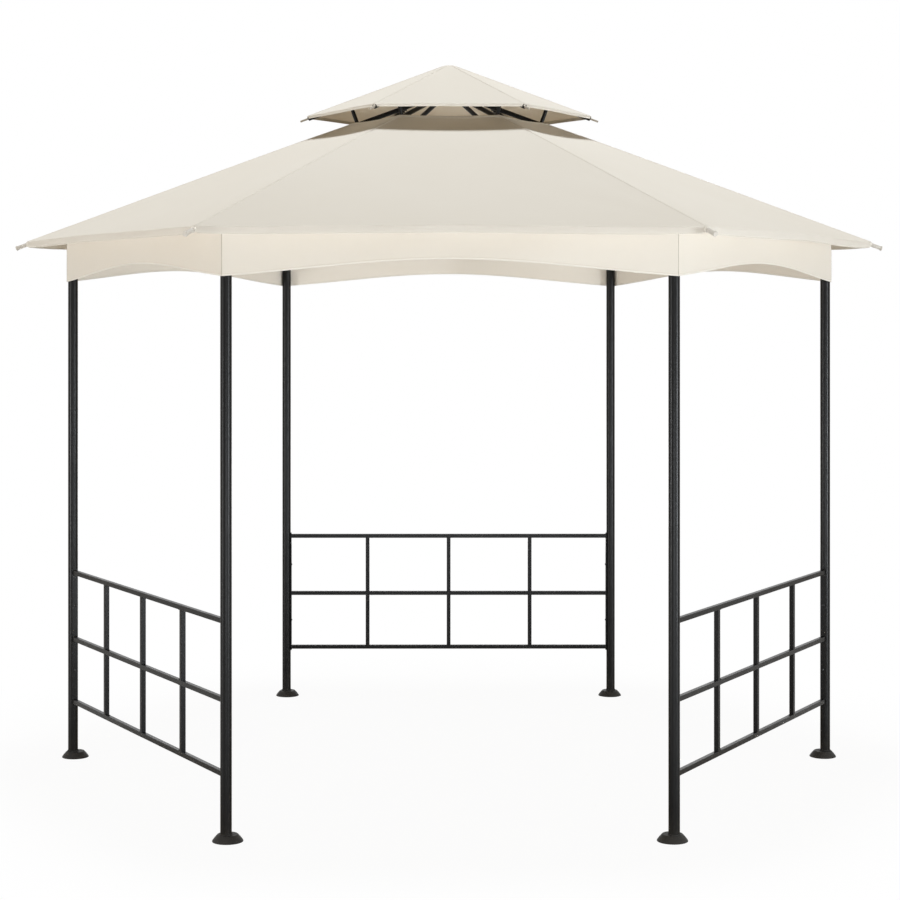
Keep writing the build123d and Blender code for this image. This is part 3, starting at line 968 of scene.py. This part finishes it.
def spun_part(bm, profile, place, aim, steps=18):
    """Spin a profile of (radius, height) about Z, then aim its Z along a direction."""
    verts = [bm.verts.new((radius, 0, height)) for radius, height in profile]
    edges = [bm.edges.new(pair) for pair in zip(verts, verts[1:])]
    bmesh.ops.spin(bm, geom=verts + edges, cent=(0, 0, 0), axis=(0, 0, 1), angle=math.tau,
                   steps=steps, use_merge=True, use_duplicate=False)
    made = [vert for vert in bm.verts if not vert.tag]
    turn = Vector((0, 0, 1)).rotation_difference(Vector(aim).normalized())
    bmesh.ops.rotate(bm, verts=made, cent=(0, 0, 0), matrix=turn.to_matrix())
    bmesh.ops.translate(bm, verts=made, vec=place)
    for vert in made:
        vert.tag = True
    return made


def close_spun(bm):
    """Join the points that meet on an axis or a seam, and turn all faces outward."""
    bmesh.ops.remove_doubles(bm, verts=list(bm.verts), dist=1e-6)
    face_outward(bm)


def finish_metal(bm, name, finish=black_zinc):
    close_spun(bm)
    return finish_piece(bm, name, [finish])


bm = bmesh.new()
for number in range(corner_count):
    tube_end = at_corner(number, axis_run, axis_height)
    down_the_tube = at_corner(number, math.cos(slope_angle), -math.sin(slope_angle))
    spun_part(bm, pocket_profile, tube_end, down_the_tube, steps=28)
close_spun(bm)
uv = bm.loops.layers.uv.new("cloth")
for face in bm.faces:
    for loop in face.loops:
        loop[uv].uv = (loop.vert.co.x, loop.vert.co.y)
pockets = finish_piece(bm, "corner_pockets", [roof_cloth], thickness=0.0006)

# %% [markdown]
# Cut flat, the roof is six trapezoids, about 1.74 m wide at the eave and 1.29 m down
# the slope with the hem. The crown is six narrow triangles, and the valance one long
# strip. The tapes, the pockets and the piping are sewn on these cloths.

print("three cloths: roof, crown and valance")

# %% [markdown]
# ## Screws, collars and weld beads
# The frame is bolted together on the lawn, so small heads show wherever tubes meet. Each
# head is a profile spun about its axis: a low dome with a round recess for the key. The
# same profile is set along every face that the screws hold. A moulded collar closes the
# top of each foot round its post.

# %% Screw heads on the side panels, posts and beams
def dome_head(radius):
    """Profile of a low domed head with a recess, its seat half a millimetre deep."""
    shape = [(0, 0.27), (0.3, 0.27), (0.34, 0.6), (0.5, 0.62), (0.8, 0.42), (1, 0.12)]
    return [(out * radius, up * radius) for out, up in shape] + [(radius, -0.0005)]


post_run = 1.55
side_run = post_run * flat_share
stile_face = 0.7508
post_inside = post_run - 0.0198
panel_sides = (1, 3, 5)
panel_screw_heights = (0.36, 0.625)
post_screw_heights = (2.066, 2.094)
bm = bmesh.new()
for side in panel_sides:
    for end in (-1, 1):
        for height in panel_screw_heights:
            spot = Vector((*plan_point(side, side_run, end * stile_face), height))
            inward = Vector((*plan_point(side, 0, -end), 0))
            spun_part(bm, dome_head(0.0048), spot, inward)
finish_metal(bm, "panel_screws")

bm = bmesh.new()
for number in range(corner_count):
    for height in post_screw_heights:
        spot = at_corner(number, post_inside, height)
        spun_part(bm, dome_head(0.0045), spot, at_corner(number, -1, 0))
finish_metal(bm, "post_screws")

beam_low, beam_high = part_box("beam_front")
beam_screw_along, bite = beam_high.x - 0.028, 0.0002
bm = bmesh.new()
for side in range(corner_count):
    for end in (-1, 1):
        x, y = plan_point(side, side_run, end * beam_screw_along)
        spun_part(bm, dome_head(0.0042), (x, y, beam_low.z + bite), (0, 0, -1))
finish_metal(bm, "beam_screws")
print("screws on", len(panel_sides), "panels,", corner_count, "posts and", corner_count, "beams")

# %% Collars on the feet
foot_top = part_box("foot_right")[1].z
collar_profile = [(0.0202, 0), (0.0226, 0), (0.0230, 0.0008), (0.0228, 0.0026)]
collar_profile += [(0.0216, 0.0038), (0.0203, 0.0040), (0.0202, 0)]
bm = bmesh.new()
for number in range(corner_count):
    spun_part(bm, collar_profile, at_corner(number, post_run, foot_top), (0, 0, 1), steps=36)
close_spun(bm)
finish_piece(bm, "foot_collars", [black_plastic])

# %% [markdown]
# Under the roof the six rafters plug on the hub and a screw holds each one. The bolt in
# the hub's recess carries the short post of the crown.

# %% Screws of the rafters and the bolt of the hub
rafter_rise = math.tan(slope_angle)
rafter_screw_runs = (0.070, post_run - 0.060)
head_seat = 0.0094
bm = bmesh.new()
for number in range(corner_count):
    below = at_corner(number, -math.sin(slope_angle), -math.cos(slope_angle))
    for run in rafter_screw_runs:
        height = axis_height + (axis_run - run) * rafter_rise
        spot = at_corner(number, run, height) + below * head_seat
        spun_part(bm, dome_head(0.0036), spot, below, steps=16)
finish_metal(bm, "rafter_screws")

recess_depth = 0.014
recess_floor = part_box("main_hub")[0].z + recess_depth
washer = [(0.0055, 0.0002), (0.0120, 0.0002), (0.0124, 0.0008), (0.0120, 0.0020)]
washer += [(0.0055, 0.0020)]
nut = [(0.0052, 0.0021), (0.0090, 0.0021), (0.0096, 0.0032), (0.0096, 0.0088)]
nut += [(0.0086, 0.0100), (0.0052, 0.0100)]
stud = [(0.0050, 0.0002), (0.0050, 0.0118), (0.0042, 0.0128), (0, 0.0128)]
bm = bmesh.new()
for profile, steps in ((washer, 32), (nut, 6), (stud, 24)):
    spun_part(bm, profile, (0, 0, recess_floor), (0, 0, -1), steps=steps)
hub_bolt = finish_metal(bm, "hub_bolt")
hub_bolt.data.shade_flat()

# %% [markdown]
# Bars of the side panels are square tube, welded where they cross. A bead is a small
# convex fillet with ripples, so it is a narrow grid bent to a quarter round that joins
# two faces, laid along each inside corner.

# %% Weld beads of the side panels
bar = 0.018
bead_length = 0.0150
bead_size = 0.0024
bead_overlap, bead_skin = 0.0003, 0.0002
rail_heights = (0.231, 0.488, 0.761)
upright_places = (-1, 0, 1)


def weld_bead(bm, side, along, height, toward, up):
    """A rippled bead with thin ends, in the corner between a rail and an upright."""
    made = bmesh.ops.create_grid(bm, x_segments=14, y_segments=4, size=0.5)["verts"]
    for vert in made:
        run = vert.co.x * bead_length
        turn = (vert.co.y + 0.5) * math.pi / 2
        ripple = 1 + 0.08 * math.sin(vert.co.x * 44) - 0.55 * abs(vert.co.x * 2) ** 6
        bulge = 0.35 + 0.65 * (1 - abs(math.cos(2 * turn)))
        reach = bead_size * ripple
        slide = reach * (1 - math.sin(turn)) * (1.1 - 0.1 * bulge) + bead_skin * ripple
        rise = reach * (1 - math.cos(turn)) * (1.1 - 0.1 * bulge) + bead_skin * ripple
        x, y = plan_point(side, side_run + run, along + toward * (slide - bead_overlap))
        vert.co = Vector((x, y, height + up * (rise - bead_overlap)))


upright_step = stile_face * 2 / 4
bm = bmesh.new()
for side in panel_sides:
    for column in upright_places:
        for level, rail_height in enumerate(rail_heights):
            for toward in (-1, 1):
                along = column * upright_step + toward * bar / 2
                if level > 0:
                    weld_bead(bm, side, along, rail_height - bar / 2, toward, -1)
                if level < 2:
                    weld_bead(bm, side, along, rail_height + bar / 2, toward, 1)
    for rail_height in rail_heights:
        for end in (-1, 1):
            for up in (-1, 1):
                weld_bead(bm, side, end * stile_face, rail_height + up * bar / 2, -end, up)
face_outward(bm)
finish_piece(bm, "panel_weld_beads", [black_coat], thickness=0.0003)

# %% [markdown]
# The short struts between the two roofs are saddle cut on the round rafters. Their beads
# follow that saddle, so a ring spun about the strut is lowered where the rafter falls
# away to the sides and tilted with its slope.

# %% Weld beads of the crown struts
strut_run = 0.377
strut_low, strut_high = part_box("crown_struts")
bead_ring = [(0.0078, 0.0004), (0.0095, 0.0002), (0.0100, 0.0010), (0.0094, 0.0021)]
bead_ring += [(0.0084, 0.0026), (0.0078, 0.0004)]
crown_angle = math.atan(crown_rise)
crown_tube_low, crown_tube_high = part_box("crown_rafters")
crown_tube_run = crown_tube_high.x - tube_radius * math.sin(crown_angle)
crown_tube_height = crown_tube_low.z + tube_radius * math.cos(crown_angle)


def saddle_ring(bm, number, centre_height, angle, up):
    """A bead round a strut where it meets a sloping tube, on its upper or lower side."""
    made = spun_part(bm, bead_ring, (0, 0, 0), (0, 0, up), steps=32)
    for vert in made:
        across = min(abs(vert.co.y), tube_radius - 0.0003)
        fall = tube_radius - math.sqrt(tube_radius ** 2 - across ** 2)
        crest = (tube_radius - fall) / math.cos(angle)
        vert.co.z += up * crest - vert.co.x * math.tan(angle)
    turn = Matrix.Rotation(math.radians(60 * number), 3, "Z")
    bmesh.ops.rotate(bm, verts=made, cent=(0, 0, 0), matrix=turn)
    bmesh.ops.translate(bm, verts=made, vec=at_corner(number, strut_run, centre_height))


bm = bmesh.new()
for number in range(corner_count):
    lower = axis_height + (axis_run - strut_run) * rafter_rise
    upper = crown_tube_height + (crown_tube_run - strut_run) * crown_rise
    saddle_ring(bm, number, lower, slope_angle, 1)
    saddle_ring(bm, number, upper, crown_angle, -1)
finish_metal(bm, "strut_weld_beads", black_coat)
print("struts from", round(strut_low.z, 4), "to", round(strut_high.z, 4))
